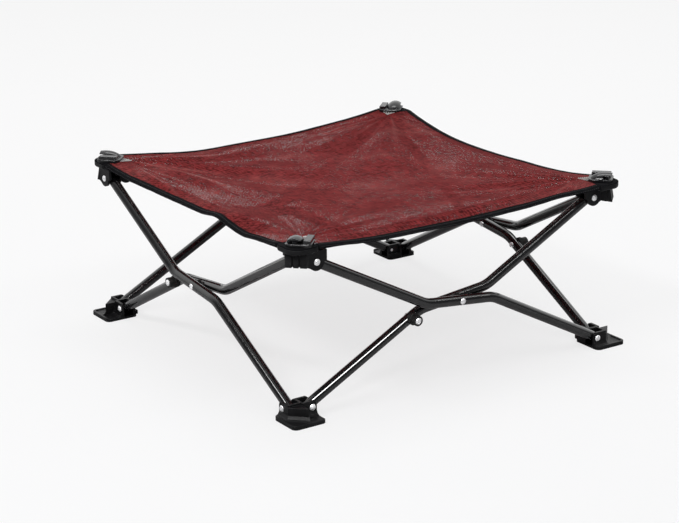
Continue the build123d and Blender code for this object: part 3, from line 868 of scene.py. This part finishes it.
def floor_material():
    """Pale seamless paper: shaded, and for the camera mostly its own even colour, a little paler far away.
    In mirror images it is dimmed, which keeps black paint black."""
    material, net, shader, place = new_material("pale_studio_paper")
    mottle = net.noise(place, 3.0, 3.0)
    paper = net.mix(mottle, (0.90, 0.90, 0.905, 1), (0.92, 0.92, 0.922, 1))
    net.link(paper, shader.inputs["Base Color"])
    net.put(shader.inputs["Roughness"], 0.9)
    net.put(shader.inputs["Specular IOR Level"], 0.1)
    x, y, _ = net.split(place)
    depth = net.plus(net.math("MULTIPLY", x, AWAY[0]), y, AWAY[1])
    even = net.add("ShaderNodeEmission")
    net.link(net.mix(net.smooth(depth, -1.2, 2.4), (0.93, 0.931, 0.935, 1), WHITE), even.inputs["Color"])
    dim = net.add("ShaderNodeEmission")
    net.put(dim.inputs["Color"], (0.04, 0.04, 0.042, 1))
    path = net.add("ShaderNodeLightPath")
    seen = net.math("MULTIPLY", path.outputs["Is Camera Ray"], 0.78)
    mirrored = net.math("MULTIPLY", path.outputs["Is Glossy Ray"], 0.6)
    joined = net.mix_shader(seen, shader.outputs["BSDF"], even.outputs["Emission"])
    joined = net.mix_shader(mirrored, joined, dim.outputs["Emission"])
    net.link(joined, material.node_tree.nodes["Material Output"].inputs["Surface"])
    return material


def studio_sky():
    """A grey gradient that lights the scene. The camera sees white in its place, and mirror images see white
    at the back of the room and near black at the front."""
    world = bpy.data.worlds.new("studio")
    bpy.context.scene.world = world
    world.use_nodes = True
    net = Net(world.node_tree)
    direction = net.add("ShaderNodeTexCoord").outputs["Generated"]
    _, _, height = net.split(direction)
    glow = net.smooth(height, -0.1, 0.9)
    light = world.node_tree.nodes["Background"]
    net.link(net.mix(glow, (0.26, 0.262, 0.268, 1), (0.56, 0.56, 0.565, 1)), light.inputs["Color"])
    net.put(light.inputs["Strength"], 1.0)
    away = net.add("ShaderNodeVectorMath", operation="DOT_PRODUCT")
    net.link(direction, away.inputs[0])
    net.put(away.inputs[1], AWAY)
    mirrored = net.mix(net.smooth(away.outputs["Value"], 0.0, 0.55), (0.12, 0.12, 0.125, 1), WHITE)
    path = net.add("ShaderNodeLightPath")
    by_camera, by_mirror = path.outputs["Is Camera Ray"], path.outputs["Is Glossy Ray"]
    seen = net.add("ShaderNodeBackground")
    net.link(net.mix(by_camera, mirrored, WHITE), seen.inputs["Color"])
    either = net.math("MAXIMUM", by_camera, by_mirror)
    joined = net.mix_shader(either, light.outputs[0], seen.outputs[0])
    net.link(joined, world.node_tree.nodes["World Output"].inputs["Surface"])


floor_plan = FLOOR_REACH * np.array([(-1, -1), (1, -1), (1, 1), (-1, 1)])
floor_points = np.column_stack([floor_plan, np.full(4, -FLOOR_DROP)])
make_piece("studio_floor", floor_points, [[0, 1, 2, 3]], floor_material())
studio_sky()


def placed(holder, place, right, up, back):
    """An object moved to a place and turned by its three axes."""
    matrix = np.eye(4)
    matrix[:3, :3] = np.stack([right, up, back], axis=1)
    matrix[:3, 3] = place
    bpy.context.scene.collection.objects.link(holder)
    holder.matrix_world = Matrix(matrix.tolist())


def soft_box(name, place, target, size, power):
    """A rectangular lamp at a place, turned to face a target."""
    lamp = bpy.data.lights.new(name, "AREA")
    lamp.shape = "RECTANGLE"
    lamp.size, lamp.size_y = size
    lamp.energy = power
    holder = bpy.data.objects.new(name, lamp)
    back = np.array(place, float) - np.array(target, float)
    back /= np.linalg.norm(back)
    right = np.cross((0, 0, 1), back)
    right /= np.linalg.norm(right)
    placed(holder, place, right, np.cross(back, right), back)
    return holder


soft_box("key_soft_box", (-2.4, -0.4, 2.7), (0, 0, 0.2), (1.9, 0.5), 46.0)
soft_box("front_strip_box", (0.3, -2.0, 2.6), (0, 0, 0.15), (5.0, 0.12), 24.0)
soft_box("top_soft_box", (0.7, 0.8, 3.0), (0, 0, 0.2), (2.2, 0.8), 24.0)

# This lamp gives highlights alone
gloss_box = soft_box("gloss_strip_box", (-1.3, -1.9, 2.5), (0, 0, 0.15), (3.2, 0.6), 170.0)
gloss_box.visible_diffuse = False

CAMERA_AZIMUTH = math.radians(-33.72)
CAMERA_ELEVATION = math.radians(18.05)
CAMERA_ROLL = -0.01108
CAMERA_PLACE = (-1.8254, -2.70015, 1.17693)
FOCAL_PIXELS = 2121.05
IMAGE_WIDTH = 679
SENSOR_WIDTH = 36.0

camera_data = bpy.data.cameras.new("photo_camera")
camera_data.sensor_fit = "HORIZONTAL"
camera_data.sensor_width = SENSOR_WIDTH
camera_data.lens = SENSOR_WIDTH * FOCAL_PIXELS / IMAGE_WIDTH
camera = bpy.data.objects.new("photo_camera", camera_data)
cos_az, sin_az = math.cos(CAMERA_AZIMUTH), math.sin(CAMERA_AZIMUTH)
cos_el, sin_el = math.cos(CAMERA_ELEVATION), math.sin(CAMERA_ELEVATION)
cos_roll, sin_roll = math.cos(CAMERA_ROLL), math.sin(CAMERA_ROLL)
back = np.array([sin_az * cos_el, -cos_az * cos_el, sin_el])
level = np.array([cos_az, sin_az, 0])
upright = np.cross(back, level)
right = cos_roll * level + sin_roll * upright
placed(camera, CAMERA_PLACE, right, cos_roll * upright - sin_roll * level, back)
bpy.context.scene.camera = camera
bpy.context.scene.view_settings.view_transform = "Standard"
